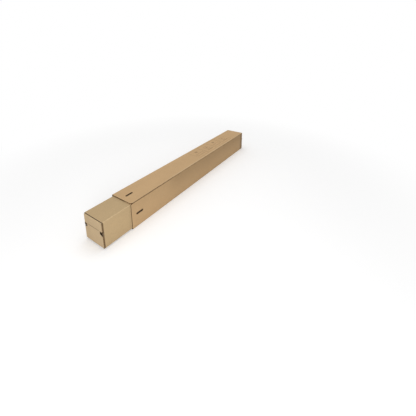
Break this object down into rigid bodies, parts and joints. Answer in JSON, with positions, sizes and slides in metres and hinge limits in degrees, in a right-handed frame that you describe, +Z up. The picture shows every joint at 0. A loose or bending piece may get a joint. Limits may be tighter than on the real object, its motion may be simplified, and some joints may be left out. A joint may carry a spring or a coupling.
{
  "type": "telescopic mailing box",
  "caption": "Long square corrugated mailing box: an inner sleeve telescopes in an outer sleeve, and each is shut at its outer end by a tuck-in closing flap over dust flaps.",
  "frame": {"origin": "middle of the bottom of the whole box as it lies, with the inner sleeve drawn out as in the picture", "axes": "+Y along the box from the inner sleeve's shut end to the outer sleeve's shut end, +Z up, +X to the right seen from the inner sleeve's shut end"},
  "size_m": [0.11, 1.055, 0.11],
  "materials": {
    "outer_board": "matt kraft liner",
    "inner_board": "matt kraft liner"
  },
  "bodies": {
    "outer_box": {"outer_sleeve": "outer_board"},
    "outer_flap": {"outer_end_flap": "outer_board"},
    "inner_box": {"inner_sleeve": "inner_board"},
    "inner_flap": {"inner_end_flap": "inner_board"}
  },
  "joints": [
    {"name": "sleeve_slide", "type": "slide", "parent": "outer_box", "child": "inner_box", "axis": [0, -1, 0], "range_m": [-0.12, 0.79]},
    {"name": "outer_flap_fold", "type": "hinge", "parent": "outer_box", "child": "outer_flap", "pos_m": [0, 0.5245, 0.003], "axis": [-1, 0, 0], "range_deg": [0, 90]},
    {"name": "inner_flap_fold", "type": "hinge", "parent": "inner_box", "child": "inner_flap", "pos_m": [0, -0.5245, 0.0063], "axis": [1, 0, 0], "range_deg": [0, 90]}
  ]
}
